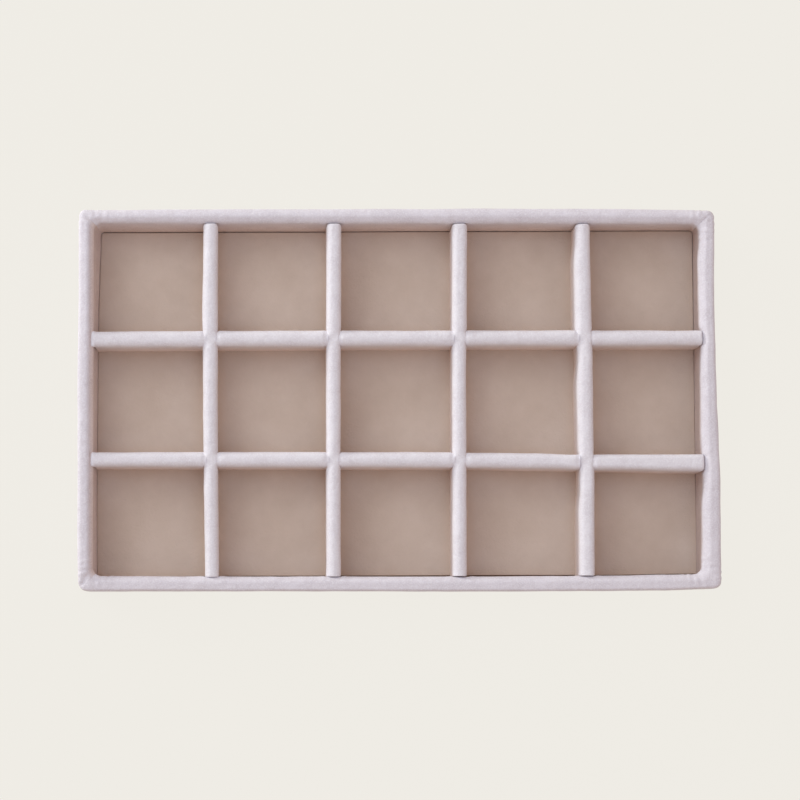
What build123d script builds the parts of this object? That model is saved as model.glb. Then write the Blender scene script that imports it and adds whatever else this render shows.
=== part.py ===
"""Velvet-covered jewellery tray: a shallow open box with a five by three grid of square compartments.

Four fibreboard walls stand round a base board, and each is covered by its own strip of velvet, which runs
down the inner face, over the rim and down the outside, and is turned under the base. A lined card makes
the floor. Two long and four short dividers, each a board in a velvet cover, are slotted into each other
at half their height and stand on the lining.

X runs along the tray's length, Y from its front to its back and Z up. The origin is the middle of the
face that it stands on. All sizes are in millimetres.
"""

from build123d import *
import os

os.makedirs("parts", exist_ok=True)

# Size of the covered tray
tray_length = 300.0
tray_depth = 180.0
tray_height = 30.0

# Compartments: an even grid, from which the maker set each divider a little off
columns = 5
rows = 3
short_divider_offsets = (-1.1, -2.1, -1.3, -0.5)
long_divider_offsets = (0.5, 0.5)

# Materials
velvet = 1.2
wall_board = 4.5
divider_board = 4.5
base_thickness = 2.5
card_thickness = 1.0
lining_thickness = 0.8
sheet_thickness = 0.6

# Walls and their covers
corner_radius = 4.0
inner_corner_radius = 2.5
rim_round = 2.9
skirt_round = 1.4
board_edge = 1.0
turn_under = 12.0
leg_trim = 0.4
mitre_seam = 0.1

# Base, floor and underside
base_fit = 0.1
floor_gap = 0.7
sheet_margin = 4.0
sheet_corner_radius = 3.0
pocket_fit = 0.1

# Dividers
divider_drop = 0.4
divider_round = 2.5
divider_board_edge = 0.8
divider_end_gap = 0.1
divider_end_round = 2.4
divider_end_reach = 0.9
pinched_velvet = 0.4
waist_run = 5.0
slot_fit = 0.05
shoulder_round = 1.3

# Heights, from the face that the tray stands on
board_bottom = sheet_thickness + velvet
base_top = board_bottom + base_thickness
card_top = base_top + card_thickness
floor_top = card_top + lining_thickness
wall_top = tray_height - velvet
divider_top = tray_height - divider_drop
divider_board_top = divider_top - velvet
lap_height = (floor_top + divider_board_top) / 2

# Widths that follow from the materials
wall_thickness = wall_board + 2 * velvet
divider_thickness = divider_board + 2 * velvet
waist_thickness = divider_board + 2 * pinched_velvet
slot_width = waist_thickness + 2 * slot_fit
inner_length = tray_length - 2 * wall_thickness
inner_depth = tray_depth - 2 * wall_thickness
turned_in = wall_thickness + turn_under
over = 1.0  # how far a cutting block runs past the face that it cuts


def block(length, depth, low, high, radius=0.0):
    """A block round the Z axis, from one height to another, with rounded upright edges."""
    outline = RectangleRounded(length, depth, radius) if radius > 0 else Rectangle(length, depth)
    return Pos(0, 0, low) * extrude(outline, amount=high - low)


def top_edges(shape):
    """The edges at the greatest height of a shape."""
    return shape.edges().group_by(Axis.Z)[-1]


def divider_places(clear, count, offsets):
    """The middle lines of the dividers that share a clear width among that many compartments."""
    compartment = (clear - (count - 1) * divider_thickness) / count
    pitch = compartment + divider_thickness
    first = -clear / 2 + compartment + divider_thickness / 2
    return [first + n * pitch + offset for n, offset in enumerate(offsets)]


short_divider_places = divider_places(inner_length, columns, short_divider_offsets)
long_divider_places = divider_places(inner_depth, rows, long_divider_offsets)


# Walls: four boards butted into one ring, and the velvet round them

def board_ring():
    """The room that the four wall boards fill, its top edges broken for the velvet to bend over."""
    outer = block(tray_length - 2 * velvet, tray_depth - 2 * velvet, board_bottom, wall_top,
                  corner_radius - velvet)
    inner = block(inner_length + 2 * velvet, inner_depth + 2 * velvet, board_bottom - over, wall_top + over)
    return chamfer(top_edges(outer - inner), board_edge)


def wall_boards(ring):
    """The front and back boards run the full length, and the side boards stand between them."""
    between = block(tray_length, inner_depth + 2 * velvet, 0, tray_height)
    sides = ring & between
    rest = ring - between
    half = Pos(tray_length / 4, 0, 0) * block(tray_length / 2, tray_depth, 0, tray_height)
    behind = Pos(0, tray_depth / 4, 0) * block(tray_length, tray_depth / 2, 0, tray_height)
    return {"back": rest & behind, "front": rest - behind, "left": sides - half, "right": sides & half}


def velvet_ring(boards):
    """The four wall covers before they are parted at the mitres: a shell round the boards, open at the
    foot of its inner leg, where the base board is pressed in."""
    outer = block(tray_length, tray_depth, sheet_thickness, tray_height, corner_radius)
    outer = fillet(outer.edges().group_by(Axis.Z)[0], skirt_round)
    opening = block(inner_length, inner_depth, board_bottom, tray_height + over, inner_corner_radius)
    shell = fillet(top_edges(outer - opening), rim_round)
    turned_hole = block(tray_length - 2 * turned_in, tray_depth - 2 * turned_in, 0, board_bottom + over)
    leg_end = block(inner_length + 2 * velvet, inner_depth + 2 * velvet, board_bottom, board_bottom + leg_trim)
    return shell - boards - turned_hole - leg_end


def mitre_zone(half_run, half_across):
    """The plan of one wall's share, on the side of +Y, bounded by the mitre lines of its two corners."""
    seam = mitre_seam / 2 ** 0.5
    near, far = 0, half_across + over
    points = [(half_run + over - seam, far), (-half_run - over + seam, far)]
    reach = half_run - half_across
    points += [(-reach + seam, near), (reach - seam, near)] if reach > 0 else [(0, -reach + seam)]
    return extrude(make_face(Polyline(*points, close=True)), amount=tray_height + over)


# Base, floor and underside

def base_board():
    """The bottom board, pressed in between the covered walls and held by the turned-under velvet."""
    return block(inner_length - 2 * base_fit, inner_depth - 2 * base_fit, board_bottom, base_top,
                 inner_corner_radius)


def floor_card():
    """The stiff card under the lining."""
    edge = 2 * (floor_gap + lining_thickness)
    return block(inner_length - edge, inner_depth - edge, base_top, card_top, inner_corner_radius)


def floor_lining(card):
    """The lining over the card and down its edges, a little short of the walls all round."""
    cover = block(inner_length - 2 * floor_gap, inner_depth - 2 * floor_gap, base_top, floor_top,
                  inner_corner_radius)
    return chamfer(top_edges(cover), lining_thickness / 2) - card


def underside_sheet():
    """The backing sheet. Its rim lies on the turned-under velvet and its middle on the base board."""
    rim = block(tray_length - 2 * sheet_margin, tray_depth - 2 * sheet_margin, 0, sheet_thickness,
                sheet_corner_radius)
    pocket_length = tray_length - 2 * turned_in - 2 * pocket_fit
    pocket_depth = tray_depth - 2 * turned_in - 2 * pocket_fit
    raised = block(pocket_length, pocket_depth, 0, board_bottom)
    hollow = block(pocket_length - 2 * sheet_thickness, pocket_depth - 2 * sheet_thickness, -over,
                   board_bottom - sheet_thickness)
    return rim + raised - hollow


# Dividers, drawn along X and round the middle of their length

def divider_outline(length, crossings):
    """The plan of a covered divider, drawn in where the velvet is pinched at each crossing."""
    half, waist = divider_thickness / 2, waist_thickness / 2
    flat, reach = half, half + waist_run
    edge = [(-length / 2, half)]
    for place in crossings:
        edge += [(place - reach, half), (place - flat, waist), (place + flat, waist), (place + reach, half)]
    edge.append((length / 2, half))
    return make_face(Polyline(*edge, *[(x, -y) for x, y in reversed(edge)], close=True))


def divider_cover(length, crossings):
    """The outside of a covered divider: rounded along its top, and in plan at its ends."""
    outline = divider_outline(length, crossings)
    height = divider_top - floor_top
    bar = extrude(outline, amount=height)
    bar = fillet(top_edges(bar).filter_by(lambda e: abs(e.center().X) < length / 2 - over), divider_round)
    corners = outline.vertices().filter_by(lambda v: abs(v.X) > length / 2 - over)
    bar &= extrude(fillet(corners, divider_end_round), amount=height)
    return Pos(0, 0, floor_top) * bar


def wall_room():
    """The covered walls with the dividers' clearance round them, to trim the dividers' ends to the rim."""
    gap = divider_end_gap
    outer = block(tray_length + 2 * gap, tray_depth + 2 * gap, -gap, tray_height + gap, corner_radius)
    inner = block(inner_length - 2 * gap, inner_depth - 2 * gap, -over, tray_height + over)
    return fillet(top_edges(outer - inner), rim_round + gap)


def slot_from_above(place):
    """A slot down to half the height, with rounded shoulders where the velvet turns into it."""
    half, wide = slot_width / 2, slot_width / 2 + shoulder_round + over
    points = [(half, lap_height), (half, divider_top), (wide, divider_top), (wide, divider_top + over)]
    mouth = make_face(Polyline(*points, *[(-x, z) for x, z in reversed(points)], close=True))
    shoulders = mouth.vertices().filter_by(lambda v: abs(v.X) < wide - over and v.Y > divider_top - over)
    mouth = fillet(shoulders, shoulder_round)
    return Pos(place, 0, 0) * Rot(90, 0, 0) * extrude(mouth, amount=divider_thickness, both=True)


def slot_from_below(place):
    """A slot up to half the height."""
    return Pos(place, 0, 0) * block(slot_width, divider_thickness + over, floor_top - over, lap_height)


def divider(length, crossings, slot):
    """The board and the velvet cover of one divider, slotted where the other dividers cross it."""
    cover = divider_cover(length + 2 * divider_end_reach, crossings)
    board = block(length - 2 * divider_end_gap - 2 * velvet, divider_board, floor_top, divider_board_top)
    board = chamfer(top_edges(board), divider_board_edge)
    cover -= board
    for place in crossings:
        board -= slot(place)
        cover -= slot(place)
    return board, cover


# The assembly, one named piece after another

pieces = {}

ring = board_ring()
boards = wall_boards(ring)
covers = velvet_ring(ring)
long_zone = mitre_zone(tray_length / 2, tray_depth / 2)
side_zone = mitre_zone(tray_depth / 2, tray_length / 2)
zones = {"back": long_zone, "front": Rot(0, 0, 180) * long_zone,
         "left": Rot(0, 0, 90) * side_zone, "right": Rot(0, 0, -90) * side_zone}
for side, board in boards.items():
    pieces[f"{side}_wall_board"] = board
    pieces[f"{side}_wall_velvet"] = covers & zones[side]

pieces["base_board"] = base_board()
pieces["floor_card"] = floor_card()
pieces["floor_lining"] = floor_lining(pieces["floor_card"])
pieces["underside_sheet"] = underside_sheet()

walls = wall_room()
long_board, long_cover = divider(inner_length, short_divider_places, slot_from_above)
for number, y in enumerate(long_divider_places, 1):
    pieces[f"long_divider_board_{number}"] = Pos(0, y, 0) * long_board
    pieces[f"long_divider_velvet_{number}"] = Pos(0, y, 0) * long_cover - walls

short_board, short_cover = divider(inner_depth, long_divider_places, slot_from_below)
for number, x in enumerate(short_divider_places, 1):
    turn = Pos(x, 0, 0) * Rot(0, 0, 90)
    pieces[f"short_divider_board_{number}"] = turn * short_board
    pieces[f"short_divider_velvet_{number}"] = turn * short_cover - walls

for name, piece in pieces.items():
    piece.label = name
    export_step(piece, f"parts/{name}.step")
    print(name, "solids", len(piece.solids()), "volume", round(piece.volume, 1))
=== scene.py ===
import math

import bmesh
import bpy
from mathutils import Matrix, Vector, noise


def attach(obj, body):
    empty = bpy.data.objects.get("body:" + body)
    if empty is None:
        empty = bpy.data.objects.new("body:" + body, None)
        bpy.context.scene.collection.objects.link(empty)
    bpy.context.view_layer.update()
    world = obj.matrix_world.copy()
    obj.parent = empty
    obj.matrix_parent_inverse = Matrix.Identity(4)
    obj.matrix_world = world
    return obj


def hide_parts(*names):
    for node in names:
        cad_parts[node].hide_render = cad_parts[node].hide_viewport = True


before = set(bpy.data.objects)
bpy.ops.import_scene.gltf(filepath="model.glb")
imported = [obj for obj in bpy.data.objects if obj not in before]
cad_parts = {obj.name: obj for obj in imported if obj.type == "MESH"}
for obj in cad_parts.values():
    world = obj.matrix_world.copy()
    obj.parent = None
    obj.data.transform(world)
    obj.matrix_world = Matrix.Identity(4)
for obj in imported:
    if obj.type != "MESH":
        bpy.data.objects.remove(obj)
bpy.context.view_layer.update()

# Boards and card
# The walls, the dividers and the base are sawn from brown fibreboard, and the floor is a sheet of grey card.
# The velvet and the lining are glued round them and hide them all.

BOARD_LIGHT = (0.36, 0.25, 0.16, 1)
BOARD_DARK = (0.17, 0.105, 0.06, 1)
CARD_LIGHT = (0.42, 0.41, 0.39, 1)
CARD_DARK = (0.27, 0.26, 0.24, 1)


def add(tree, kind, settings=None, inputs=None):
    """A shader node in the tree. Each input takes a plain value or another node's output."""
    made = tree.nodes.new("ShaderNode" + kind)
    for name, value in (settings or {}).items():
        setattr(made, name, value)
    for name, value in (inputs or {}).items():
        if isinstance(value, bpy.types.NodeSocket):
            tree.links.new(value, made.inputs[name])
        else:
            made.inputs[name].default_value = value
    return made


def maths(tree, operation, *values):
    """What one operation makes of the values."""
    return add(tree, "Math", {"operation": operation}, dict(enumerate(values))).outputs[0]


def mixed(tree, mask, low, high, blend="MIX"):
    """The colour that goes from low to high with the mask, or that high multiplies."""
    way = {"data_type": "RGBA", "blend_type": blend}
    return add(tree, "Mix", way, {0: mask, 6: low, 7: high}).outputs[2]


def ranged(tree, value, low, high, to_low, to_high):
    """The value stretched from one range to another and kept inside it."""
    ends = {"Value": value, "From Min": low, "From Max": high, "To Min": to_low, "To Max": to_high}
    return add(tree, "MapRange", None, ends).outputs["Result"]


def grainy(tree, place, scale, detail=2.0, rough=0.5):
    """A soft grain of that many lumps to the metre."""
    sizes = {"Vector": place, "Scale": scale, "Detail": detail, "Roughness": rough}
    return add(tree, "TexNoise", None, sizes).outputs["Fac"]


def new_group(name, inputs, outputs):
    """An empty group with named inputs, each with its usual value, and named outputs."""
    tree = bpy.data.node_groups.new(name, "ShaderNodeTree")
    for label, value in inputs.items():
        socket = tree.interface.new_socket(label, in_out="INPUT", socket_type="NodeSocketFloat")
        socket.default_value = value
    for label in outputs:
        tree.interface.new_socket(label, in_out="OUTPUT", socket_type="NodeSocketFloat")
    return tree, tree.nodes.new("NodeGroupInput"), tree.nodes.new("NodeGroupOutput")


def new_material(name, shader_values):
    """A material, its tree and its Principled shader with these plain values."""
    material = bpy.data.materials.new(name)
    material.use_nodes = True
    shader = material.node_tree.nodes["Principled BSDF"]
    for label, value in shader_values.items():
        shader.inputs[label].default_value = value
    return material, material.node_tree, shader


def placed(tree, group, values):
    """The outputs of the group in a material, with this material's own values."""
    return add(tree, "Group", {"node_tree": group}, values).outputs


def surface(tree, shader, colour, rough, height, depth):
    """Gives the shader its colour and roughness, and a relief of that height as deep as so many metres."""
    bump = add(tree, "Bump", None, {"Height": height, "Distance": depth, "Strength": 1.0})
    for label, value in (("Base Color", colour), ("Roughness", rough), ("Normal", bump.outputs["Normal"])):
        tree.links.new(value, shader.inputs[label])


# Pressed fibre: short pale and dark shives, with larger soft clouds
fibre, fibre_in, fibre_out = new_group("pressed_fibre", {"Shives": 900.0, "Clouds": 60.0}, ("Mix", "Height"))
spot = add(fibre, "TexCoord").outputs["Object"]
stretched = add(fibre, "Mapping", None, {"Vector": spot, "Scale": (1.0, 0.35, 1.0)}).outputs["Vector"]
shives = grainy(fibre, stretched, fibre_in.outputs["Shives"], detail=4.0, rough=0.7)
clouds = grainy(fibre, spot, fibre_in.outputs["Clouds"])
fibre_mix = maths(fibre, "MULTIPLY", ranged(fibre, shives, 0.3, 0.7, 0.0, 1.0),
                  ranged(fibre, clouds, 0.2, 0.8, 0.6, 1.0))
fibre.links.new(fibre_mix, fibre_out.inputs["Mix"])
fibre.links.new(shives, fibre_out.inputs["Height"])


def fibre_material(name, dark, light, shives, depth, clouds=60.0, smoothest=0.78, gloss=0.3, sheen=0.0):
    """Board, card or felt: pressed fibre between two colours."""
    material, tree, shader = new_material(name, {"Specular IOR Level": gloss, "Sheen Weight": sheen})
    grain = placed(tree, fibre, {"Shives": shives, "Clouds": clouds})
    surface(tree, shader, mixed(tree, grain["Mix"], dark, light),
            ranged(tree, grain["Mix"], 0.0, 1.0, 0.95, smoothest), grain["Height"], depth)
    return material


board = fibre_material("fibreboard", BOARD_DARK, BOARD_LIGHT, shives=700.0, depth=0.00012)
card = fibre_material("grey_card", CARD_DARK, CARD_LIGHT, shives=1500.0, depth=0.00005)
for name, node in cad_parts.items():
    if "_board" in name or name == "floor_card":
        node.data.materials.clear()
        node.data.materials.append(card if name == "floor_card" else board)

# Wall velvet
# One strip of short pale velvet to each wall, glued up the inner face, stretched over the rim and down the
# outside, and turned under the base. The strips meet in mitres at the corners.

MM = 0.001
TRAY_LENGTH = 300.0
TRAY_DEPTH = 180.0
TRAY_HEIGHT = 30.0
VELVET = 1.2
WALL = 6.9
RIM_ROUND = 3.2
OUTER_ROUND = 1.7
SKIRT_ROUND = 1.4
VELVET_FOOT = 2.2
BACKING = 0.6
TURNED_UNDER = 12.0
MITRE_SEAM = 0.02

# Steps of the mesh along a wall, with the fine ones near its corners and its dividers, steps round half a
# corner, and those of each part of the section: inner face, its rounding, crest, outer edge, outer face, the
# bend at its foot and what is turned under
WALL_STEP = 1.1
FINE_STEP = 0.5
CORNER_RUN = 20.0
NEAR_DIVIDER = 5.0
CORNER_STEPS = 6
SECTION_STEPS = (9, 10, 4, 7, 9, 4, 5)

# The board in a wall's section: its faces, top and broken edges. Then how thin the velvet may get over it,
# and how far the velvet's slant counts in that.
BOARD_OUT = 1.2
BOARD_IN = 5.7
WALL_BOARD_TOP = 28.8
BOARD_EDGE = 1.0
THINNEST = 0.14
LEAST_SLANT = 0.3

# The walls' velvet is painted a little darker than the covers': the same velvet, painted darker as if its nap
# caught less light
VELVET_PALE = (0.745, 0.70, 0.745, 1)
VELVET_SHADE = (0.66, 0.61, 0.65, 1)
VELVET_FLECK = (0.80, 0.765, 0.80, 1)

# The walls that each wall meets at its left and right end, seen from outside
MEETS = {"back": ("left", "right"), "front": ("right", "left"),
         "left": ("front", "back"), "right": ("back", "front")}
FACES = {"back": 0, "front": 180, "left": 90, "right": -90}
OUTER_CORNERS = {"back left": 3.0, "back right": 3.2, "front left": 4.4, "front right": 3.4}
MITRE_DEPTHS = {"back left": 0.12, "back right": 0.3, "front left": 0.05, "front right": 0.06}
INSIDE_CORNER = 3.8
INSIDE_CORNER_FOOT = 1.6
TIGHT_UP_TO = 8.0

# How far each outer face stands out and each rim swells inward, at places along it
STANDS_OUT = {
    "back": ((-150, 0.2), (-134, 0.45), (-108, 0.75), (-12, 1.05), (52, 1.3), (104, 1.2), (130, 0.9),
             (150, 0.4)),
    "front": ((-150, -0.4), (-120, -0.4), (-68, -0.15), (52, 0.4), (104, 0.35), (122, 0.2), (150, -0.6)),
    "left": ((-90, 0.9), (-70, 1.15), (-10, 1.3), (9, 1.4), (56, 1.0), (76, 1.15), (90, 0.9)),
    "right": ((-90, 1.3), (-75, 1.3), (-37, 1.45), (-18, 1.0), (0.7, 0.5), (20, 0.1), (48, -0.15), (76, 0.3),
              (90, 0.3)),
}
SWELLS_IN = {
    "back": ((-150, -0.2), (-140, -0.75), (140, -0.8), (150, -0.7)),
    "front": ((-150, 0.8), (-137, 0.7), (-80, 0.2), (47, -0.2), (94, 0.0), (125, 0.4), (150, 0.6)),
    "left": ((-90, 0.0), (-82, -0.7), (-60, -0.95), (75, -0.95), (90, -0.7)),
    "right": ((-90, 0.9), (-78, 0.8), (-66, 0.25), (-52, 0.35), (-38, -0.65), (-29, -0.6), (-20, 0.2),
              (-10, 0.25), (9, 0.35), (18, 0.1), (29, -0.6), (38, 0.5), (52, 0.65), (66, 0.9), (76, 0.0),
              (90, 0.1)),
}
# Where divider ends press on the rims: the place, how far from the outer face they end, half their width and
# how deep they press
PRESSED = {
    "back": ((-89.2, 6.8, 3.4, 0.7), (-30.8, 6.8, 3.4, 0.7), (29.1, 6.8, 3.3, 0.7), (87.5, 6.8, 3.4, 0.7)),
    "front": ((-88.7, 6.8, 3.2, 0.15), (-31.5, 6.8, 3.2, 0.15), (28.3, 6.8, 3.2, 0.15),
              (88.0, 6.8, 3.2, 0.15)),
    "left": ((-27.8, 5.9, 3.2, 0.7), (29.0, 5.9, 3.2, 0.7)),
    "right": ((-30.3, 6.1, 3.3, 0.5), (29.8, 6.1, 3.3, 0.5)),
}
# Where the press fades out beside the end, and how far short of it
PRESS_BESIDE = (0.1, 0.8)
PRESS_SHORT = (0.75, 0.25)
# Beside each end the velvet swells up a little: how high, how far from it, how wide and over which insets
BULGE = (0.14, 2.0, 1.4)
BULGE_INSETS = (2.0, 5.0)
# How far the velvet stands in at the foot of the inner face, where it is bunched or pulled tight
FOOT_SWELLS = {
    "back": ((-150, 0.4), (-138, 0.3), (-60, 0.0), (30, -0.4), (140, -0.85), (150, -0.8)),
    "front": ((-150, 0.0), (150, 0.0)),
    "left": ((-90, -0.1), (-50, -0.3), (20, 0.0), (45, 0.35), (60, 0.8), (76, 1.3), (90, 1.5)),
    "right": ((-90, 0.4), (90, 0.1)),
}
# How far the foot of each outer face stands out
FEET_OUT = {"back": 0.0, "front": -1.0, "left": 0.2, "right": 0.2}
# Heights at which the faces pass from their foot to their full swell. Where the inner face hangs over its
# foot, it does so only near the rim.
FOOT_ENDS = 2.0
OUTER_FULL = 24.0
INNER_FULL = 26.0
OVERHANG_STARTS = 17.0
# Heights at which the rim's own shape begins and is full
RIM_STARTS = 22.0
RIM_FULL = 27.0
# How much lower the inner side of each rim lies, pulled tight, and over which insets. On the upright face
# only a share of it counts.
SLOPES_IN = {"back": (0.35, 3.0, 5.4), "front": (0.35, 3.2, 6.2), "left": (1.25, 3.5, 5.8),
             "right": (0.5, 3.4, 5.8)}
UPRIGHT_SHARE = 0.3
# How deep the rounding of the outer edge is, and how far in it reaches along the wall
ROUNDED_DOWN = {"back": 2.9, "front": 1.7, "left": 1.4, "right": 1.7}
ROUNDED_OVER = {
    "back": ((-150, 5.2), (-130, 5.0), (-100, 4.4), (150, 4.4)),
    "front": ((-150, 1.0), (150, 1.0)),
    "left": ((-90, 2.0), (-20, 2.2), (15, 3.0), (45, 5.0), (90, 5.6)),
    "right": ((-90, 1.7), (90, 1.7)),
}
# How much fuller than its foot the velvet of a wall is along the crest of its rim
CRESTS = {"back": 0.0, "front": 0.0, "left": 1.0, "right": 0.0}
# How far from a mitre two walls' swells, rims and boards blend, how wide the mitre's line is, and over which
# insets it deepens
SWELLS_BLEND = 9.0
RIMS_BLEND = 8.0
BOARDS_BLEND = 4.0
MITRE_LINE = 0.7
MITRE_INSETS = (0.8, 3.0)
# Puckers near the mitres: how high, their radians to the millimetre, how far from the mitre and how wide
PUCKERS = (0.12, 1.9, 6.0, 3.5)
# Folds and dents at the corners: from one point to another, width and depth
FOLDS = (((-146.2, -82.9), (-148.2, -86.9), 0.8, 0.55), ((-143.6, -85.2), (-142.2, -85.7), 0.9, 0.3),
         ((-146.5, 85.9), (-144.7, 84.6), 0.9, 0.35), ((144.3, 88.4), (145.3, 87.8), 0.5, 0.25),
         ((146.0, 87.6), (146.6, 86.6), 0.5, 0.3), ((148.0, 86.2), (148.2, 84.6), 0.6, 0.25),
         ((147.1, 76.5), (147.5, 75.9), 0.5, 0.25), ((145.6, -85.4), (146.4, -86.6), 1.0, 0.3))
# Broad waves, lumps and pile of a hand-glued velvet: their size, where the noise is read, and their height
UNEVEN = ((23.0, (0.0, 0.0, 0.0), 0.16), (9.0, (31.0, 7.0, 3.0), 0.10), (3.4, (5.0, 57.0, 11.0), 0.035))
# How much of it is left where the velvet is pressed flat, as it is below this height inside
FLATTENED = 0.3
FLAT_BELOW = 10.0
# A face looks down where its normal's upward part is below this, and looks in where its inward part is above
LOOKS_DOWN = -0.5
LOOKS_IN = 0.9


def between(table, place):
    """The value at a place, from a table of places and values, passing smoothly from one to the next."""
    for (start, low), (end, high) in zip(table, table[1:]):
        if place <= end:
            return low + (high - low) * rise(place, start, end)
    return table[-1][1]


def hill(distance, width):
    """1 at no distance, falling smoothly to nearly 0 at twice the width."""
    return math.exp(-(distance / width) ** 2)


def rise(value, start, end):
    """0 up to the start, 1 from the end on, and smooth between them."""
    t = min(max((value - start) / (end - start), 0.0), 1.0)
    return t * t * (3 - 2 * t)


def from_segment(x, y, start, end):
    """How far a point is from a short line."""
    run_x, run_y = end[0] - start[0], end[1] - start[1]
    t = ((x - start[0]) * run_x + (y - start[1]) * run_y) / (run_x ** 2 + run_y ** 2)
    t = min(max(t, 0.0), 1.0)
    return math.hypot(x - start[0] - t * run_x, y - start[1] - t * run_y)


def uneven(x, y, z):
    """How far a hand-glued velvet surface stands off its smooth line, in millimetres."""
    spot = Vector((x, y, z))
    return sum(high * noise.noise(spot / size + Vector(shift)) for size, shift, high in UNEVEN)


def rounding(inset, deep, reach):
    """How much lower the rim lies at an inset where its outer edge is rounded that deep over that reach, not
    in a plain quarter of a circle."""
    plain, wide = (1 - min(inset / run, 1.0) for run in (OUTER_ROUND, reach))
    return deep * (1 - math.sqrt(1 - wide ** 2)) - OUTER_ROUND * (1 - math.sqrt(1 - plain ** 2))


def board_lift(side, along, inset, height, lift, across, up):
    """How much further a point of the velvet's face has to stand off, so that the board stays covered."""
    x = inset + across * lift - stand_off(side, along, inset, height, True)
    z = height + up * lift
    slant = math.sqrt(0.5)
    inner = (x + z - BOARD_IN - WALL_BOARD_TOP + BOARD_EDGE) * slant
    outer = (z - x - WALL_BOARD_TOP + BOARD_OUT + BOARD_EDGE) * slant
    gap, away_x, away_z = max((x - BOARD_IN, 1.0, 0.0), (BOARD_OUT - x, -1.0, 0.0),
                              (z - WALL_BOARD_TOP, 0.0, 1.0), (inner, slant, slant), (outer, -slant, slant))
    return max(THINNEST - gap, 0.0) / max(across * away_x + up * away_z, LEAST_SLANT)


def steps(start, end, count):
    """That many even steps from the start, without the end."""
    return [start + (end - start) * n / count for n in range(count)]


def arc(centre, radius, start, end, count):
    """Points and normals on an arc in the section, without its last point."""
    angles = [math.radians(a) for a in steps(start, end, count)]
    return [(centre[0] + radius * math.cos(a), centre[1] + radius * math.sin(a), math.cos(a), math.sin(a))
            for a in angles]


def run(start, end, normal, count):
    """The same on a straight part of it."""
    return [(x, z, *normal) for x, z in zip(*(steps(a, b, count) for a, b in zip(start, end)))]


def wall_section():
    """The velvet's outside across a wall as (inset, height, normal), from the foot of the inner face over
    the rim and down to the edge that is turned under."""
    shoulder = TRAY_HEIGHT - RIM_ROUND
    bend = BACKING + SKIRT_ROUND
    edge = WALL + TURNED_UNDER
    on_inner, on_round, on_crest, on_edge, on_outer, on_bend, on_under = SECTION_STEPS
    points = run((WALL, VELVET_FOOT), (WALL, shoulder), (1, 0), on_inner)
    points += arc((WALL - RIM_ROUND, shoulder), RIM_ROUND, 0, 90, on_round)
    points += run((WALL - RIM_ROUND, TRAY_HEIGHT), (OUTER_ROUND, TRAY_HEIGHT), (0, 1), on_crest)
    points += arc((OUTER_ROUND, TRAY_HEIGHT - OUTER_ROUND), OUTER_ROUND, 90, 180, on_edge)
    points += run((0, TRAY_HEIGHT - OUTER_ROUND), (0, bend), (-1, 0), on_outer)
    points += arc((SKIRT_ROUND, bend), SKIRT_ROUND, 180, 270, on_bend)
    points += run((SKIRT_ROUND, BACKING), (edge, BACKING), (0, -1), on_under)
    return points + [(edge, BACKING, 0, -1)]


def even_places(breaks, step_at):
    """Places through all the breaks, each stretch cut evenly into steps of about the size asked for."""
    places = []
    for start, end in zip(breaks, breaks[1:]):
        count = max(1, math.ceil((end - start) / step_at((start + end) / 2)))
        places += steps(start, end, count)
    return places + [breaks[-1]]


def wall_stations(side, length):
    """Places along a wall as (turn into the corner from -1 to 1, share of the straight run from -1 to 1),
    close together where dividers press on it."""
    flip = -1 if side in ("front", "right") else 1
    ends = [flip * place for place, *_ in PRESSED[side]]
    near_end = length / 2 - CORNER_RUN
    marks = [-length / 2, -near_end, near_end, length / 2]
    marks += [place + way * NEAR_DIVIDER for place in ends for way in (-1, 1)]

    def step_at(x):
        near = abs(x) > near_end or min(abs(x - place) for place in ends) < NEAR_DIVIDER
        return FINE_STEP if near else WALL_STEP

    straight = [(0.0, 2 * x / length) for x in even_places(sorted(marks), step_at)]
    corner = [n / CORNER_STEPS for n in range(1, CORNER_STEPS + 1)]
    return [(-t, -1.0) for t in reversed(corner)] + straight + [(t, 1.0) for t in corner]


def corner_name(side, end):
    """Which corner of the tray is at one end of a wall."""
    pair = {side, MEETS[side][end]}
    return ("back " if "back" in pair else "front ") + ("left" if "left" in pair else "right")


def corner_radius(side, end, inset, height):
    """The plan radius of the corner at one end of a wall, from outside to inside, where it is tighter at the
    foot."""
    outer = OUTER_CORNERS[corner_name(side, end)]
    inner = INSIDE_CORNER_FOOT + (INSIDE_CORNER - INSIDE_CORNER_FOOT) * rise(height, TIGHT_UP_TO, INNER_FULL)
    return outer + (inner - outer) * min(inset / WALL, 1.0)


def wall_plan(side, length, depth, station, inset, height):
    """Where a station lies in plan for a wall that faces +Y, at an inset from its outer face, and how far
    it is from the mitre."""
    turn, share = station
    left, right = (corner_radius(side, end, inset, height) for end in (0, 1))
    low, high = -(length / 2 - inset - left), length / 2 - inset - right
    radius = left if turn < 0 or (turn == 0 and share < 0) else right
    angle = turn * math.pi / 4
    straight = low + (high - low) * (share + 1) / 2
    x = straight + radius * math.sin(angle)
    y = depth / 2 - inset - radius + radius * math.cos(angle)
    to_mitre = radius * (1 - abs(turn)) * math.pi / 4 + min(straight - low, high - straight)
    return x - math.copysign(MITRE_SEAM, turn) * (abs(turn) == 1.0), y, to_mitre


def stand_off(side, along, inset, height, velvet_face):
    """How far out of line the wall's velvet is at a place. Its back never goes into the board."""
    inside = min(inset / WALL, 1.0)
    low = FEET_OUT[side]
    out = low + (between(STANDS_OUT[side], along) - low) * rise(height, FOOT_ENDS, OUTER_FULL)
    out *= 1 - inside
    top = between(SWELLS_IN[side], along)
    foot = between(FOOT_SWELLS[side], along)
    starts = OVERHANG_STARTS if top > 0 else FOOT_ENDS
    swell = (foot + (top - foot) * rise(height, starts, INNER_FULL)) * inside
    return out - swell if velvet_face else max(out, 0.0) - max(swell, 0.0)


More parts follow.
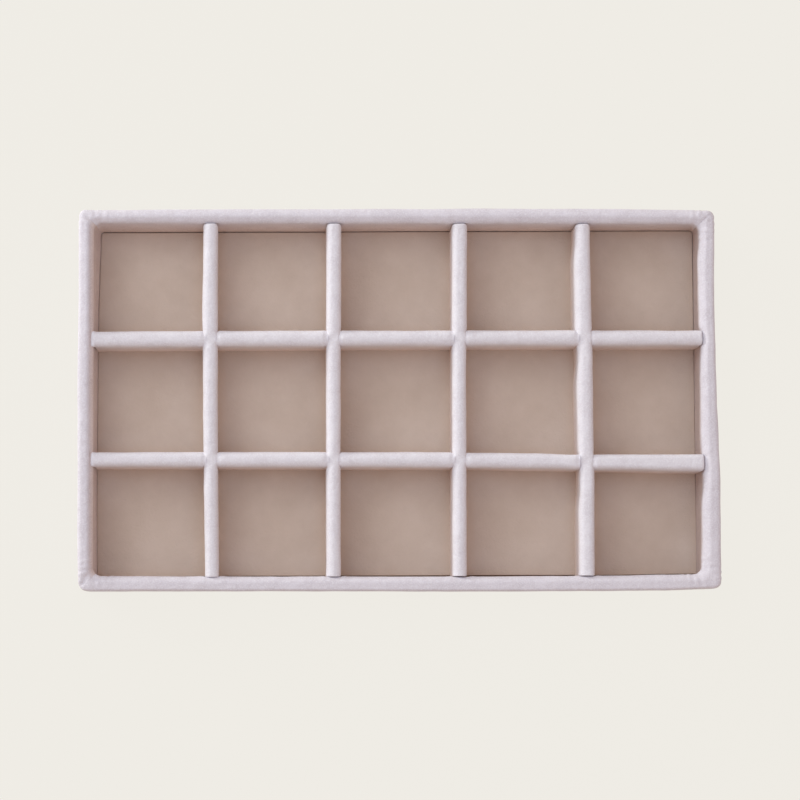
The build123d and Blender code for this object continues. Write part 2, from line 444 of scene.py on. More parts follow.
def wall_point(side, length, depth, station, inset, height, velvet_face):
    """A point of a wall's velvet, turned into place, and its distance from the mitre."""
    x, y, to_mitre = wall_plan(side, length, depth, station, inset, height)
    cos, sin = round(math.cos(math.radians(FACES[side]))), round(math.sin(math.radians(FACES[side])))
    wx, wy = x * cos - y * sin, x * sin + y * cos
    y += stand_off(side, wx if cos else wy, inset, height, velvet_face)
    end = 0 if x < 0 else 1
    beside = MEETS[side][end]
    shift = stand_off(beside, wy if cos else wx, inset, height, velvet_face) * hill(to_mitre, SWELLS_BLEND)
    x += shift * (-1 if end == 0 else 1)
    return (x * cos - y * sin, x * sin + y * cos, height), (wx, wy), to_mitre


# Points this near are one, in metres, and the shading breaks where faces meet at more than this angle
SAME_POINT = 1e-7
SHARP_FROM = math.radians(60)


def new_object(name, data):
    """An object in the scene, made of that mesh, lamp or camera."""
    made = bpy.data.objects.new(name, data)
    bpy.context.scene.collection.objects.link(made)
    return made


def cloth(name, face, back, cut=lambda i, j: False, ring=False):
    """A closed mesh of a cloth from the points of its face and of its back, in rows, less the cells that are
    cut out. In a ring, each row closes on itself, and the first one bounds the middle."""
    mesh = bpy.data.meshes.new(name)
    shape = bmesh.new()
    sides = [[[shape.verts.new(Vector(p) * MM) for p in row] for row in rows] for rows in (face, back)]
    rows, columns = len(face) - 1, len(face[0]) - (0 if ring else 1)

    def there(i, j):
        return 0 <= i < rows and (ring or 0 <= j < columns) and not cut(i, j % columns)

    for i in range(rows):
        for j in range(columns):
            if not there(i, j):
                continue
            k = (j + 1) % len(face[0])
            loop = ((i, j), (i, k), (i + 1, k), (i + 1, j))
            for side, order in ((sides[0], loop), (sides[1], loop[::-1])):
                shape.faces.new([side[a][b] for a, b in order])
            neighbours = ((i - 1, j), (i, j + 1), (i + 1, j), (i, j - 1))
            for n, beside in enumerate(neighbours):
                if not there(*beside) and not (ring and beside[0] < 0):
                    (a, b), (c, d) = loop[n], loop[(n + 1) % 4]
                    shape.faces.new([sides[0][c][d], sides[0][a][b], sides[1][a][b], sides[1][c][d]])
    if ring:
        for side in sides:
            shape.faces.new(side[0])
    bmesh.ops.delete(shape, geom=[v for v in shape.verts if not v.link_faces], context="VERTS")
    bmesh.ops.remove_doubles(shape, verts=shape.verts, dist=SAME_POINT)
    bmesh.ops.recalc_face_normals(shape, faces=shape.faces)
    for f in shape.faces:
        f.smooth = True
    shape.to_mesh(mesh)
    shape.free()
    mesh.set_sharp_from_angle(angle=SHARP_FROM)
    return new_object(name, mesh)


def own_rim(wall, place, inset, up, on_rim):
    """What a wall's slope and crest add to its velvet at a place, and how much lower its rim lies there."""
    slope, start, stop = SLOPES_IN[wall]
    flat = max(up, 0.0)
    lift = CRESTS[wall] * flat
    lift -= slope * rise(inset, start, stop) * (UPRIGHT_SHARE + (1 - UPRIGHT_SHARE) * flat) * on_rim
    return lift, rounding(inset, ROUNDED_DOWN[wall], between(ROUNDED_OVER[wall], place)) * on_rim


def marks_of_hand(side, x, y, along, inset, to_mitre):
    """How far the rim stands up where it is puckered near a mitre, folded at a corner or pressed by the end
    of a divider."""
    high, turns, away, wide = PUCKERS
    lift = high * math.sin(along * turns) * hill(to_mitre - away, wide)
    for start, end, width, deep in FOLDS:
        lift -= deep * hill(from_segment(x, y, start, end), width)
    high, away, wide = BULGE
    for place, ends_at, half, deep in PRESSED[side]:
        off = abs(along - place)
        under = 1 - rise(off, *(half + beside for beside in PRESS_BESIDE))
        lift -= deep * under * rise(inset, *(ends_at - short for short in PRESS_SHORT))
        lift += high * hill(off - half - away, wide) * rise(inset, *BULGE_INSETS)
    return lift


def wall_strip(side, length, depth):
    """One wall's velvet."""
    face, back = [], []
    for inset, height, across, up in wall_section():
        face_row, back_row = [], []
        on_rim = rise(height, RIM_STARTS, RIM_FULL)
        flattened = up < LOOKS_DOWN or (across > LOOKS_IN and height < FLAT_BELOW)
        for station in wall_stations(side, length):
            _, (wx, wy), to_mitre = wall_point(side, length, depth, station, inset, height, True)
            along, other_along = (wx, wy) if side in ("back", "front") else (wy, wx)
            end = 0 if station[1] < 0 else 1
            beside = MEETS[side][end]
            lift = uneven(wx, wy, height) * (FLATTENED if flattened else 1.0)
            lift -= (MITRE_DEPTHS[corner_name(side, end)] * hill(to_mitre, MITRE_LINE) * max(up, 0.0)
                     * rise(inset, *MITRE_INSETS))
            lower = 0.0
            share = (1 + rise(to_mitre, 0.0, RIMS_BLEND)) / 2
            for wall, place, weight in ((side, along, share), (beside, other_along, 1 - share)):
                raised, lowered = own_rim(wall, place, inset, up, on_rim)
                lift += weight * raised
                lower += weight * lowered
            lift += marks_of_hand(side, wx, wy, along, inset, to_mitre) * on_rim
            if up > LOOKS_DOWN:
                own = board_lift(side, along, inset, height - lower, lift, across, up)
                other = board_lift(beside, other_along, inset, height - lower, lift, across, up)
                lift += max(own, other * hill(to_mitre, BOARDS_BLEND))
            for row, x, z, is_face in (
                    (face_row, inset + across * lift, max(height + up * lift - lower, BACKING), True),
                    (back_row, inset - across * VELVET, height - up * VELVET, False)):
                row.append(wall_point(side, length, depth, station, x, z, is_face)[0])
        face.append(face_row)
        back.append(back_row)
    return cloth(f"{side}_wall_strip", face, back)


# Short nap: patches that lie one way or the other, fine flecks, and a soft relief.
nap, nap_in, nap_out = new_group("short_nap", {"Patches": 120.0, "Flecks": 1400.0},
                                 ("Lay", "Fleck", "Height"))
spot = add(nap, "TexCoord").outputs["Object"]
patches = grainy(nap, spot, nap_in.outputs["Patches"], detail=4.0, rough=0.6)
flecks = grainy(nap, spot, nap_in.outputs["Flecks"], rough=0.6)
tufts = grainy(nap, spot, maths(nap, "MULTIPLY", nap_in.outputs["Flecks"], 0.35))
nap.links.new(ranged(nap, patches, 0.3, 0.7, 0.0, 1.0), nap_out.inputs["Lay"])
nap.links.new(ranged(nap, flecks, 0.45, 0.75, 0.0, 1.0), nap_out.inputs["Fleck"])
nap.links.new(maths(nap, "MULTIPLY_ADD", tufts, 1.6, flecks), nap_out.inputs["Height"])


# The inner faces are painted darker and warmer towards their foot, a painted shade that stands in for the
# shade and the warm light bounced off the lining there. That begins and is full at these heights on most
# walls.
PAINTED_SHADE_BEGINS = 27.5 * MM
PAINTED_SHADE_FULL = 8.0 * MM
depths, depths_in, depths_out = new_group("inner_face_painted_shade", {"Rim": PAINTED_SHADE_BEGINS, "Full": PAINTED_SHADE_FULL}, ("Low",))
spot = add(depths, "SeparateXYZ", None, {0: add(depths, "TexCoord").outputs["Object"]}).outputs
low = ranged(depths, spot["Z"], depths_in.outputs["Rim"], depths_in.outputs["Full"], 0.0, 1.0)
for axis, half in (("X", TRAY_LENGTH / 2), ("Y", TRAY_DEPTH / 2)):
    from_middle = maths(depths, "ABSOLUTE", spot[axis])
    inside = ranged(depths, from_middle, (half - 4.0) * MM, (half - 2.0) * MM, 1.0, 0.0)
    low = maths(depths, "MULTIPLY", low, inside)
depths.links.new(low, depths_out.inputs["Low"])


def velvet_material(name, shade, pale, fleck, painted_shade, begins=PAINTED_SHADE_BEGINS, full_at=PAINTED_SHADE_FULL):
    """Short-piled velvet with a sheen. The painted shade multiplies its colour on the inner faces, from where
    it begins to where it is full."""
    sheen = {"Sheen Weight": 0.1, "Sheen Roughness": 0.45, "Sheen Tint": (1.0, 0.98, 1.0, 1),
             "Specular IOR Level": 0.15}
    material, tree, shader = new_material(name, sheen)
    pile = placed(tree, nap, {"Patches": 150.0, "Flecks": 1300.0})
    lay = mixed(tree, pile["Lay"], shade, pale)
    clean = mixed(tree, pile["Fleck"], lay, fleck)
    inner = placed(tree, depths, {"Rim": begins, "Full": full_at})
    # Painted shade: the colour is darkened and warmed low on the inner faces
    with_painted_shade = mixed(tree, inner["Low"], clean, painted_shade, "MULTIPLY")
    surface(tree, shader, with_painted_shade, ranged(tree, pile["Lay"], 0.0, 1.0, 0.95, 0.82), pile["Height"], 0.00018)
    return material


PAINTED_SHADE = (1.0, 0.86, 0.72, 1)
wall_colours = (VELVET_SHADE, VELVET_PALE, VELVET_FLECK)
# The walls' velvet, with painted shade towards the foot of its inner faces
velvet = velvet_material("wall_velvet", *wall_colours, PAINTED_SHADE)
# The side walls' inner faces carry a darker painted shade, full higher up than on the other walls
RIGHT_PAINTED_SHADE = (0.78, 0.66, 0.57, 1)
RIGHT_PAINTED_SHADE_FULL = 22.0 * MM
LEFT_PAINTED_SHADE = (0.92, 0.81, 0.72, 1)
LEFT_PAINTED_SHADE_BEGINS = 30.3 * MM
LEFT_PAINTED_SHADE_FULL = 28.5 * MM
# Painted shade on the side walls: darker on the right one's inner face and on the left one's inner slope
side_velvets = {
    "right": velvet_material("right_wall_velvet", *wall_colours, RIGHT_PAINTED_SHADE, full_at=RIGHT_PAINTED_SHADE_FULL),
    "left": velvet_material("left_wall_velvet", *wall_colours, LEFT_PAINTED_SHADE, LEFT_PAINTED_SHADE_BEGINS, LEFT_PAINTED_SHADE_FULL),
}
# Each wall's strip, with its velvet, in place of the part's own velvet, which is hidden
for side in FACES:
    length, depth = (TRAY_LENGTH, TRAY_DEPTH) if side in ("back", "front") else (TRAY_DEPTH, TRAY_LENGTH)
    strip = wall_strip(side, length, depth)
    strip.data.materials.append(side_velvets.get(side, velvet))
    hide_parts(f"{side}_wall_velvet")
    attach(strip, "root")

# Floor lining
# One sheet of tan suede cloth, glued over the card and turned down round its edges, so that the floor drops
# in as a panel and leaves a thin dark gap along the walls.

LINING_LENGTH = 286.0
LINING_DEPTH = 165.9
LINING = 0.8
LINING_TOP = 6.1
LINING_FOOT = 4.35
LINING_CORNER = 1.4
# What is turned down at both sides together
CARD_HALVES = (141.6, 81.6)
# How much further in the lining lies than the foot of the back wall, and further out than the left one's
BACK_PULL = 0.15
LEFT_PUSH = 0.1
# How wide and how high its waves are, and how much lower they leave it
WAVES = (21.0, 0.05, 0.02)
# The bend over the card's edge: distances inside the face's edge with their drops, and the back's drops
FACE_BEND = ((0.3, 0.01), (0.1, 0.06), (0.02, 0.2), (0.0, 0.6))
BACK_BEND = (0.05, 0.2, 0.5)
# How wide the gap is between the lining and the right wall, and the front wall from left to right
RIGHT_GAP = 0.3
FRONT_GAP = ((-143, 0.85), (-80, 1.1), (0, 1.0), (56, 1.05), (100, 0.85), (128, 1.3), (143, 1.4))

LINING_TAN = (0.666, 0.531, 0.438, 1)
LINING_SHADE = (0.585, 0.454, 0.365, 1)

# Steps of a panel's mesh along its sides and round each corner, the lining's rings from its middle out and
# where the last one lies, half the width that they leave in the middle, and the least corner radius
LONG_STEPS = 60
SHORT_STEPS = 36
TURN_STEPS = 6
RINGS = 27
LAST_RING = 1.0
OPEN_MIDDLE = 0.05
LEAST_RADIUS = 0.02


def rounded_loop(half_length, half_depth, radius, height, bends):
    """A rounded rectangle at one height, with the same number of points whatever its size."""
    points = []
    for quarter, (cx, cy) in enumerate(((1, 1), (-1, 1), (-1, -1), (1, -1))):
        mx, my = cx * (half_length - radius), cy * (half_depth - radius)
        angles = [math.pi / 2 * (quarter + n / TURN_STEPS) for n in range(TURN_STEPS + 1)]
        turn = [(mx + radius * math.cos(a), my + radius * math.sin(a)) for a in angles]
        x, y = turn.pop()
        points += turn
        if quarter % 2 == 0:
            count, dx, dy = LONG_STEPS, -cx * 2 * (half_length - radius), 0
        else:
            count, dx, dy = SHORT_STEPS, 0, -cy * 2 * (half_depth - radius)
        points += [(x + dx * n / count, y + dy * n / count) for n in range(count)]
    return [bends(x, y, height) for x, y in points]


def drawn_in(tray, lining, card, gap):
    """The share drawn in of what reaches past the card, for the lining to end that gap from the wall."""
    return 1 - (tray / 2 - WALL - gap - card) / (lining / 2 - card)


def lie(x, y, height):
    """The lining follows the feet of the walls, and isn't quite flat on its card."""
    back = min(max(y / (LINING_DEPTH / 2), 0.0), 1.0)
    left = min(max(-x / (LINING_LENGTH / 2), 0.0), 1.0)
    y -= back * (between(FOOT_SWELLS["back"], x) + BACK_PULL)
    x += left * (between(FOOT_SWELLS["left"], y) - LEFT_PUSH)
    card_x, card_y = CARD_HALVES
    past_x, past_y = max(x - card_x, 0.0), max(-y - card_y, 0.0)
    x -= past_x * drawn_in(TRAY_LENGTH, LINING_LENGTH, card_x, RIGHT_GAP)
    y += past_y * drawn_in(TRAY_DEPTH, LINING_DEPTH, card_y, between(FRONT_GAP, x))
    size, high, lower = WAVES
    return x, y, height + high * noise.noise(Vector((x, y, 0)) / size) - lower


def panel(half_length, half_depth, corner, insets, bends=lambda *point: point):
    """Rows of points from the middle line of a panel out to the inset 0 of its edge."""
    rows = []
    for inset, height in insets:
        radius = max(corner - inset, LEAST_RADIUS)
        rows.append(rounded_loop(half_length - inset, half_depth - inset, radius, height, bends))
    return rows


middle = LINING_DEPTH / 2 - OPEN_MIDDLE
rings = steps(middle, LAST_RING, RINGS) + [LAST_RING]
top = [(inset, LINING_TOP) for inset in rings] + [(inset, LINING_TOP - drop) for inset, drop in FACE_BEND]
under = [(inset, LINING_TOP - LINING) for inset in rings] + [(LINING + 0.02, LINING_TOP - LINING)]
under += [(LINING, LINING_TOP - LINING - drop) for drop in BACK_BEND] + [(LINING, LINING_FOOT)]
size = (LINING_LENGTH / 2, LINING_DEPTH / 2, LINING_CORNER)
face = panel(*size, top + [(0.0, LINING_FOOT)], lie)
back = panel(*size, under, lie)
lining = cloth("floor_suede", face, back, ring=True)

# Tan suede cloth has a fine even nap, rubbed a little paler in places
suede, tree, shader = new_material("tan_suede", {"Sheen Weight": 0.12, "Sheen Roughness": 0.5,
                                                 "Specular IOR Level": 0.15})
pile = placed(tree, nap, {"Patches": 35.0, "Flecks": 2200.0})
surface(tree, shader, mixed(tree, pile["Lay"], LINING_SHADE, LINING_TAN),
        ranged(tree, pile["Fleck"], 0.0, 1.0, 0.92, 0.84), pile["Height"], 0.00012)
lining.data.materials.append(suede)
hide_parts("floor_lining")
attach(lining, "root")

# Divider covers
# Each divider is a strip of board in a velvet cover, slotted at half its height. The long ones have their
# slots on top and the short ones run over them, so the velvet is pinched at every crossing.

# The covers' velvet is painted a little paler than the walls': the same velvet, painted lighter as if its nap
# caught more light
COVER_PALE = (0.80, 0.765, 0.80, 1)
COVER_SHADE = (0.72, 0.675, 0.71, 1)
COVER_FLECK = (0.84, 0.81, 0.84, 1)
# The painted-pale cover velvet, with the painted shade low on the covers as well
cover_velvet = velvet_material("divider_velvet", COVER_SHADE, COVER_PALE, COVER_FLECK, PAINTED_SHADE)

DIVIDER = 6.9
DIVIDER_TOP = 29.6
DIVIDER_ROUND = 3.3
# The middle lines of the short dividers from left to right, and of the long ones from front to back
SHORT_PLACES = (-89.03, -31.41, 28.01, 87.43)
LONG_PLACES = (-28.35, 29.35)
# The board inside with its clearance, how far short of the walls it ends, and the velvet's least width on it
BOARD_HALF = 2.27
BOARD_TOP = 28.45
BOARD_SHORT = 1.3
LEAST_HALF = BOARD_HALF + 0.15
# The slots: the height where they meet, half their width, the width of their cut edge, and how far a long
# cover is tucked under a short one
LAP = 17.25
SLOT_HALF = 2.7
CUT = 0.05
TUCKED = 0.75
# A short cover at a crossing is pinched and dips to a flatter saddle, and a long one sinks in a valley and
# is drawn in beside it. The spans are distances beyond the slot's edge.
PINCH = 0.7
DIP = 0.3
PINCH_SPAN = (-2.6, 2.2)
PINCHED_ROUND = 2.2
SADDLE = 0.5
SADDLE_SPAN = (-1.5, 1.3)
VALLEY = 0.45
VALLEY_SPAN = (0.5, 2.8)
DRAWN_IN = 0.15
DRAWN_SPAN = (0.7, 1.9)
# An end on a rim: how deep it sinks, how thick it stays, how far its tip drops over which run, and the least
# half of its width
END_SINKS = 0.68
END_THICK = 0.75
TIP_DROP = 0.5
TIP_RUN = 0.9
TIP_HALF = 1.1
# The hollow in it shuts over a run from the tip: its shares of the end's half width and of its height, each
# with what it loses, and its least height. Then how round the cover's back is along its top.
SHUT_RUN = 0.5
HOLLOW_WIDE = (0.6, 0.45)
HOLLOW_TALL = (0.35, 0.25)
LEAST_HOLLOW = 0.15
BACK_ROUND = 0.8
# The heights between which a cover's unevenness grows, its share at the foot, and the share that an end keeps
# from how far before the wall
UNEVEN_FROM = (6.0, 14.0)
FOOT_UNEVEN = 0.1
END_UNEVEN = 0.3
END_STARTS = -0.2
# How far a cover's foot is off the lining, and the halves of an end's sides join above its bottom. Then how
# much stays flat beside a rounding and what share of the height that takes at most, on the face and the back.
OFF_LINING = 0.02
END_LAP = 0.05
LEAST_FLAT = 0.1
MOST_TALL = 0.8
BACK_FLAT = 0.05
BACK_TALL = 0.5
# How far below the top of the back its sides' halves join at least
BACK_JOIN = 0.1
# Rows of the mesh on a side's lower and upper half, its rounding and the flat top, the steps along it up to
# each distance from an end or a crossing, its breaks just short of the walls, and how near breaks may be
SIDE_ROWS = 5
ARC_ROWS = 7
CROWN_ROWS = 2
COVER_STEPS = ((5.0, 0.42), (13.0, 0.8), (math.inf, 1.5))
WALL_BREAKS = (0.02, 0.12)
LEAST_STEP = 0.3


def rim_height(inset):
    """The height of a wall's rounded rim at an inset from its outer face."""
    over = inset - (WALL - RIM_ROUND)
    if over <= 0:
        return TRAY_HEIGHT
    return TRAY_HEIGHT - RIM_ROUND + math.sqrt(max(RIM_ROUND ** 2 - over ** 2, 0.0))


def cover_profile(low, high, bottom, lap, top, wide, tall):
    """The section of a cover as (across, height, normal): up one side, over the top, rounded that wide and
    that tall, and down the other side."""
    edge = top - tall
    heights = steps(bottom, lap, SIDE_ROWS) + steps(lap, edge, SIDE_ROWS)
    points = [(-low, z, -1, 0) for z in heights]
    turns = steps(0, math.pi / 2, ARC_ROWS)
    points += [(-low + wide - wide * math.cos(a), edge + tall * math.sin(a), -math.cos(a), math.sin(a))
               for a in turns]
    inner = low + high - 2 * wide
    points += [(-low + wide + inner * n / CROWN_ROWS, top, 0, 1) for n in range(CROWN_ROWS + 1)]
    points += [(high - wide + wide * math.cos(a), edge + tall * math.sin(a), math.cos(a), math.sin(a))
               for a in reversed(turns)]
    return points + [(high, z, 1, 0) for z in reversed(heights)]


def cover_places(clear, slots, ends):
    """Places along a cover, with breaks at its slots and at the walls, and closer where its shape turns."""
    start, end = -clear / 2 - ends[0][0], clear / 2 + ends[1][0]
    breaks = {start, end}
    for wall in (-1, 1):
        breaks |= {wall * (clear / 2 - gap) for gap in WALL_BREAKS}
    for near, far in slots:
        breaks |= {near - CUT, near, far, far + CUT}
    turns = [start, end] + [(near + far) / 2 for near, far in slots]
    loose = {mark + way * reach for mark in turns for way in (-1, 1) for reach, _ in COVER_STEPS[:-1]}
    breaks |= {mark for mark in loose
               if start < mark < end and min(abs(mark - b) for b in breaks) > LEAST_STEP}

    def step_at(s):
        near = min(abs(s - mark) for mark in turns)
        return next(step for reach, step in COVER_STEPS if near < reach)

    return even_places(sorted(breaks), step_at)


def cover(name, kind, place, clear, slots, ends, swing, tilt):
    """A divider's cover, under or over those that it crosses. Ends gives how far each end laps on its wall,
    how round it is in plan and how much lower than a plain rim the wall lies there, swing how far the two
    sides stand from their straight lines, and tilt how much the top slopes."""
    def plan(s, w):
        return (s, place + w) if kind == "under" else (place + w, s)

    places = cover_places(clear, slots, ends)
    face, back = [], []
    for s in places:
        tip = min(s - places[0], places[-1] - s)
        past_wall = abs(s) - clear / 2
        beyond = min(max(near - s, s - far) for near, far in slots)
        _, end_round, drop = ends[0] if s < 0 else ends[1]
        nose = end_round - math.sqrt(end_round ** 2 - max(end_round - tip, 0.0) ** 2)
        low, high = (max(DIVIDER / 2 + sign * between(table, s), LEAST_HALF)
                     for sign, table in zip((-1, 1), swing))
        bottom, lap, top = LINING_TOP + OFF_LINING, LAP, DIVIDER_TOP
        wide = tall = DIVIDER_ROUND
        if kind == "over":
            near = 1 - rise(beyond, *PINCH_SPAN)
            low, high = (max(side - PINCH * near, LEAST_HALF) for side in (low, high))
            top -= DIP * near
            wide += (PINCHED_ROUND - wide) * near
            tall += (SADDLE - tall) * (1 - rise(beyond, *SADDLE_SPAN))
        elif beyond < CUT / 2:
            low = high = SLOT_HALF - CUT
        else:
            top -= VALLEY * (1 - rise(beyond, *VALLEY_SPAN))
            low, high = (side - DRAWN_IN * (1 - rise(beyond, *DRAWN_SPAN)) for side in (low, high))
        low, high = max(low - nose, TIP_HALF), max(high - nose, TIP_HALF)
        back_half, back_top = BOARD_HALF, BOARD_TOP
        if past_wall > 0:
            bottom = rim_height(WALL - past_wall) - END_SINKS - drop
            lap = bottom + END_LAP
            top = max(top, bottom + END_THICK) - TIP_DROP * (1 - rise(tip, 0.0, TIP_RUN))
        if past_wall > -BOARD_SHORT:
            shut = 1 - rise(tip, 0.0, SHUT_RUN)
            half_share, share = (whole - lost * shut for whole, lost in (HOLLOW_WIDE, HOLLOW_TALL))
            back_half = min(low, high) * half_share
            back_top = bottom + max((top - bottom) * share, LEAST_HOLLOW)
        wide, tall = min(wide, low - LEAST_FLAT, high - LEAST_FLAT), min(tall, (top - bottom) * MOST_TALL)
        outer = cover_profile(low, high, bottom, lap, top, wide, tall)
        inner = cover_profile(back_half, back_half, bottom, min(lap, back_top - BACK_JOIN), back_top,
                              min(BACK_ROUND, back_half - BACK_FLAT),
                              min(BACK_ROUND, (back_top - bottom) * BACK_TALL))
        face_row, back_row = [], []
        kept = END_UNEVEN if past_wall > END_STARTS else 1.0
        for (w, z, across, up), (bw, bz, _, _) in zip(outer, inner):
            lift = uneven(*plan(s, w), z) * min(rise(z, *UNEVEN_FROM) + FOOT_UNEVEN, 1.0) * kept
            w, z = w + across * lift, z + up * lift + tilt * w * rise(z, LAP, top)
            face_row.append((*plan(s, w), z))
            back_row.append((*plan(s, bw), bz))
        face.append(face_row)
        back.append(back_row)

    middles = [(a + b) / 2 for a, b in zip(places, places[1:])]
    in_slot = [any(near < m < far for near, far in slots) for m in middles]
    last = len(face[0]) - 2

    def cut(i, j):
        below = j < SIDE_ROWS or j > last - SIDE_ROWS
        return in_slot[i] and (below if kind == "over" else not below)

    piece = cloth(name, face, back, cut)
    piece.data.materials.append(cover_velvet)
    return piece


CLEAR_LENGTH = TRAY_LENGTH - 2 * WALL
CLEAR_DEPTH = TRAY_DEPTH - 2 * WALL

# How far the front and the back side of each long cover stand from their straight lines, along its length
LONG_SWING = (
    (((-118, 0.5), (-85, 0.3), (0, 0.05), (30, -0.15), (63, -0.7), (97, -1.3), (135, -2.1)),
     ((-141, 0.45), (-118, 0.55), (0, 0.35), (38, 0.0), (61, -0.45), (95, -1.4), (118, -1.6), (130, -2.0))),
    (((-142, -0.75), (-68, -0.4), (8, -0.1), (80, 0.05), (95, -0.1), (131, 0.0)),
     ((-141, -0.15), (-68, 0.3), (7, 0.3), (129, 0.35))),
)
# The same for the left and the right side of each short cover
SHORT_SWING = (
    (((-80, 0.75), (-61, 0.35), (-38, 0.05), (10, -0.35), (47, -0.6), (76, -0.1)),
     ((-75, 0.15), (0, -0.33), (25, -0.25), (76, -0.2))),
    (((-75, 0.0), (0, 0.2), (76, 0.62)), ((-75, -0.12), (-25, -0.05), (18, 0.2), (76, 0.62))),
    (((-75, 0.05), (0, 0.35), (76, 0.73)), ((-75, -0.25), (0, 0.05), (76, 1.0))),
    (((-76, 0.35), (-52, 0.3), (-38, 1.6), (-19, 0.3), (8, 0.05), (19, 0.8), (38, -0.5), (66, -0.7),
      (76, 0.05)),
     ((-76, 0.8), (-38, 1.0), (0, 0.85), (19, 0.75), (47, 0.4), (76, 0.05))),
)


def slot_round(place, tables, where):
    """The slot that a long cover needs for a short one, whose sides are out of line: its two ends."""
    left, right = (between(table, where) for table in tables)
    left = max(place - DIVIDER / 2 + left + PINCH, place - DIVIDER)
    right = min(place + DIVIDER / 2 + right - PINCH, place + DIVIDER)
    return min(left + TUCKED, place - BOARD_HALF - CUT), max(right - TUCKED, place + BOARD_HALF + CUT)


# The left and right end of each long cover, and the front and back end of each short one
LONG_ENDS = ((2.2, 1.0, 0.6), (0.8, 1.1, 0.1))
SHORT_ENDS = ((0.15, 0.6, 0.0), (0.7, 1.2, 0.1))
# How much the top of each cover slopes up, to the back on the long ones and to the right on the short ones
LONG_TILTS = (-0.07, -0.06)
SHORT_TILTS = (0.02, 0.03, 0.07, 0.11)


def divider(kind, n, place, clear, slots, ends, swing, tilt):
    """One divider's cover in its place on its board."""
    length = "long" if kind == "under" else "short"
    piece = cover(f"{length}_divider_cover_{n}", kind, place, clear, slots, ends, swing, tilt)
    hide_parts(f"{length}_divider_velvet_{n}")
    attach(piece, "root")


for n, (place, swing, tilt) in enumerate(zip(LONG_PLACES, LONG_SWING, LONG_TILTS), 1):
    slots = [slot_round(x, tables, place) for x, tables in zip(SHORT_PLACES, SHORT_SWING)]
    divider("under", n, place, CLEAR_LENGTH, slots, LONG_ENDS, swing, tilt)

for n, (place, swing, tilt) in enumerate(zip(SHORT_PLACES, SHORT_SWING, SHORT_TILTS), 1):
    slots = [(y - SLOT_HALF, y + SLOT_HALF) for y in LONG_PLACES]
    divider("over", n, place, CLEAR_DEPTH, slots, SHORT_ENDS, swing, tilt)

# Underside backing
# A thin sheet of off-white paper felt, glued over the turned-under edges of the velvet. Its rim lies on the
# velvet and its middle is pressed up on to the base board.

SHEET_MARGIN = 4.0
SHEET_CORNER = 3.0
SHEET_HALF_LENGTH = TRAY_LENGTH / 2 - SHEET_MARGIN
SHEET_HALF_DEPTH = TRAY_DEPTH / 2 - SHEET_MARGIN
STEP_INSET = WALL + TURNED_UNDER - SHEET_MARGIN
PRESSED_UP = 1.2
BACKING_RINGS = 20
# The step from the pressed-up middle down to the rim: distances inside its edge, with their heights
STEP = ((1.0, 1.15), (0.6, 0.9), (0.3, 0.35), (0.0, 0.06), (-0.6, 0.0))
# How far inside the step the middle's last ring lies, the rings of the rim, and how far in the last one lies
BEFORE_STEP = 1.5
RIM_RINGS = 5
LAST_ON_RIM = 0.2
# The sheet's rounded edge: distances inside it, with how far both faces have turned in
EDGE_BEND = [(0.08, 0.03), (0.0, 0.12)]

BACKING_PALE = (0.62, 0.60, 0.56, 1)
BACKING_DARK = (0.47, 0.45, 0.41, 1)

middle = SHEET_HALF_DEPTH - OPEN_MIDDLE
rings = steps(middle, STEP_INSET + BEFORE_STEP, BACKING_RINGS) + [STEP_INSET + BEFORE_STEP]
down = [(inset, PRESSED_UP) for inset in rings]
down += [(STEP_INSET + further, height) for further, height in STEP]
rim = steps(down[-1][0], LAST_ON_RIM, RIM_RINGS)[1:] + [LAST_ON_RIM]
down += [(inset, 0.0) for inset in rim]
up = [(inset, height + BACKING) for inset, height in down]
up += [(inset, BACKING - height) for inset, height in EDGE_BEND]
down += EDGE_BEND
face = panel(SHEET_HALF_LENGTH, SHEET_HALF_DEPTH, SHEET_CORNER, up)
back = panel(SHEET_HALF_LENGTH, SHEET_HALF_DEPTH, SHEET_CORNER, down)
backing = cloth("underside_backing", face, back, ring=True)
felt = fibre_material("paper_felt", BACKING_DARK, BACKING_PALE, shives=1600.0, depth=0.0001, clouds=90.0,
                      smoothest=0.85, gloss=0.2, sheen=0.08)
backing.data.materials.append(felt)
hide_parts("underside_sheet")
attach(backing, "root")

# Studio
# A plain cream floor, with a soft window light and a low one from the back left, a weak one from the
# ceiling and warm light from all round. The camera looks almost straight down, as in the photograph.

CREAM = (0.871, 0.847, 0.791, 1)
FLOOR_PALE = (0.80, 0.78, 0.74, 1)
FLOOR_CLOUD = (0.77, 0.75, 0.71, 1)
FILL = (1.0, 0.80, 0.68, 1)
FILL_STRENGTH = 0.60
# How near the tray the floor is darkened, in metres, and its brightness there and elsewhere
CONTACT = 0.0012
CONTACT_SHADES = (0.45, 0.96)


def seen_straight(tree):
    """1 where the camera sees the cream itself, or in gloss or glass, and 0 where it only lights the tray."""
    rays = add(tree, "LightPath").outputs
    glossy = maths(tree, "MAXIMUM", rays["Is Camera Ray"], rays["Is Glossy Ray"])
    return maths(tree, "MAXIMUM", glossy, rays["Is Transmission Ray"])


floor_mesh = bpy.data.meshes.new("floor")
floor_shape = bmesh.new()
bmesh.ops.create_grid(floor_shape, x_segments=8, y_segments=8, size=6.0)
floor_shape.to_mesh(floor_mesh)
floor_shape.free()
floor = new_object("floor", floor_mesh)

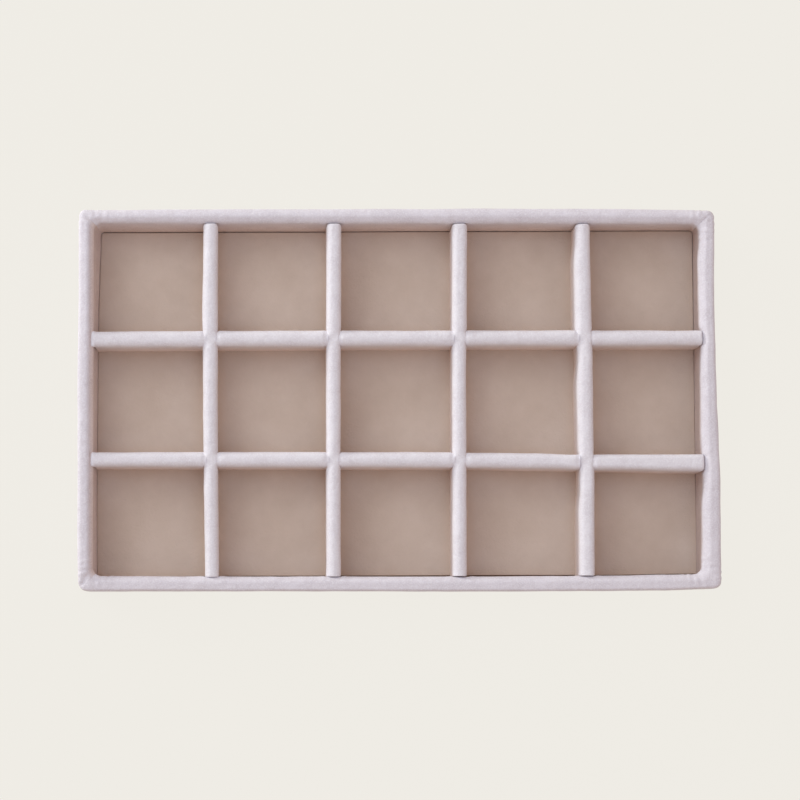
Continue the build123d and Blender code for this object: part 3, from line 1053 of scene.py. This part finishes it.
floor_material, tree, shader = new_material("studio_floor", {"Roughness": 0.9, "Specular IOR Level": 0.1})
clouds = grainy(tree, add(tree, "TexCoord").outputs["Object"], 3.0)
tree.links.new(mixed(tree, clouds, FLOOR_CLOUD, FLOOR_PALE), shader.inputs["Base Color"])
glow = add(tree, "Emission", None, {"Color": CREAM, "Strength": 1.0})
close = add(tree, "AmbientOcclusion", {"samples": 8}, {"Distance": CONTACT}).outputs["AO"]
contact = ranged(tree, close, 0.4, 1.0, *CONTACT_SHADES)
share = maths(tree, "MULTIPLY", seen_straight(tree), contact)
floor_mix = add(tree, "MixShader", None, {0: share, 1: shader.outputs[0], 2: glow.outputs[0]})
tree.links.new(floor_mix.outputs[0], tree.nodes["Material Output"].inputs["Surface"])
floor_mesh.materials.append(floor_material)

world = bpy.data.worlds.new("studio")
bpy.context.scene.world = world
world.use_nodes = True
tree = world.node_tree
fill = tree.nodes["Background"]
fill.inputs["Color"].default_value = FILL
fill.inputs["Strength"].default_value = FILL_STRENGTH
backdrop = add(tree, "Background", None, {"Color": CREAM, "Strength": 1.0})
world_mix = add(tree, "MixShader", None, {0: seen_straight(tree), 1: fill.outputs[0], 2: backdrop.outputs[0]})
tree.links.new(world_mix.outputs[0], tree.nodes["World Output"].inputs["Surface"])


def soft_lamp(name, place, size, power, colour):
    """A square soft lamp that points at the tray, in metres and watts."""
    lamp = bpy.data.lights.new(name, "AREA")
    lamp.shape = "SQUARE"
    lamp.size = size
    lamp.energy = power
    lamp.color = colour
    holder = new_object(name, lamp)
    holder.location = place
    holder.rotation_euler = (-Vector(place)).to_track_quat("-Z", "Y").to_euler()


soft_lamp("window", (-1.0, 0.8, 1.3), size=1.4, power=12.8, colour=(0.72, 0.88, 0.98))
soft_lamp("ceiling", (0.0, 0.0, 2.5), size=1.5, power=12.1, colour=(0.29, 0.61, 1.0))
soft_lamp("low_lamp", (-1.75, 0.98, 0.2), size=0.3, power=20.8, colour=(0.96, 1.0, 0.98))

# The camera's place in metres, its turn in degrees and its lens in millimetres
CAMERA_PLACE = (-0.0692, -0.1372, 1.5557)
CAMERA_TURN = (5.138, -2.570, -0.304)
CAMERA_LENS = 146.34

camera_data = bpy.data.cameras.new("camera")
camera_data.lens = CAMERA_LENS
camera_data.sensor_width = 36.0
camera = new_object("camera", camera_data)
camera.location = CAMERA_PLACE
camera.rotation_euler = [math.radians(a) for a in CAMERA_TURN]
bpy.context.scene.camera = camera
bpy.context.scene.view_settings.view_transform = "Standard"
